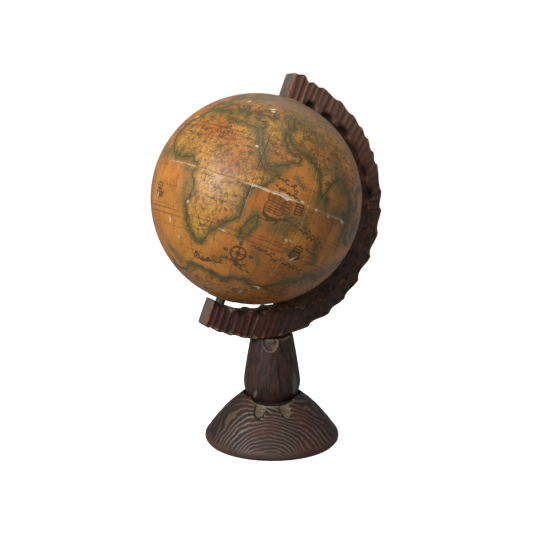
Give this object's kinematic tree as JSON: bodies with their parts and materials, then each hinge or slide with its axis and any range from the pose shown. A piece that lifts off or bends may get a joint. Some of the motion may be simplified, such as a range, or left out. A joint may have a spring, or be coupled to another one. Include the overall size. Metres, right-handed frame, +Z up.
{
  "type": "desktop globe",
  "caption": "Desk globe that turns on an inclined rod in a carved wooden C-shaped arm, on a barrel-shaped stem and a round cone base.",
  "frame": {"origin": "centre of the felt's underside, on the surface the globe stands on", "axes": "+Z up; the C-shaped arm lies in the XZ plane and opens towards -X; the north pole leans towards +X"},
  "size_m": [0.1767, 0.15, 0.2656],
  "materials": {
    "arm_wood": "dark stained carved softwood with worn orange-brown edges",
    "stem_wood": "dark stained turned and carved softwood, satin",
    "base_wood": "dark stained turned softwood with raised grain, satin",
    "peg_wood": "grey-green stained hardwood",
    "pale_wood": "bare beech",
    "map_paper": "printed map paper under aged amber varnish",
    "cardboard": "pressed grey-brown cardboard",
    "felt": "dark green felt",
    "steel": "plain drawn steel",
    "brass": "dull brass"
  },
  "bodies": {
    "stand": {"base": "base_wood", "felt_pad": "felt", "base_screw": "steel", "base_screw_washer": "steel", "stem": "stem_wood", "arm_dowel": "pale_wood", "meridian_arm": "arm_wood", "axis_rod": "steel", "rod_plug": "pale_wood", "lower_spacer": "peg_wood", "upper_washer": "brass"},
    "globe": {"north_hemisphere": "cardboard", "south_hemisphere": "cardboard", "equator_band": "cardboard", "north_pole_block": "pale_wood", "south_pole_block": "pale_wood", "north_bush": "brass", "south_bush": "brass", "north_calotte": "map_paper", "south_calotte": "map_paper", "north_gore_01": "map_paper", "north_gore_02": "map_paper", "north_gore_03": "map_paper", "north_gore_04": "map_paper", "north_gore_05": "map_paper", "north_gore_06": "map_paper", "north_gore_07": "map_paper", "north_gore_08": "map_paper", "north_gore_09": "map_paper", "north_gore_10": "map_paper", "north_gore_11": "map_paper", "north_gore_12": "map_paper", "south_gore_01": "map_paper", "south_gore_02": "map_paper", "south_gore_03": "map_paper", "south_gore_04": "map_paper", "south_gore_05": "map_paper", "south_gore_06": "map_paper", "south_gore_07": "map_paper", "south_gore_08": "map_paper", "south_gore_09": "map_paper", "south_gore_10": "map_paper", "south_gore_11": "map_paper", "south_gore_12": "map_paper"}
  },
  "joints": [
    {"name": "globe_spin", "type": "hinge", "parent": "stand", "child": "globe", "pos_m": [-0.01248, 0, 0.17952], "axis": [0.3746, 0, 0.9272], "continuous": true}
  ]
}
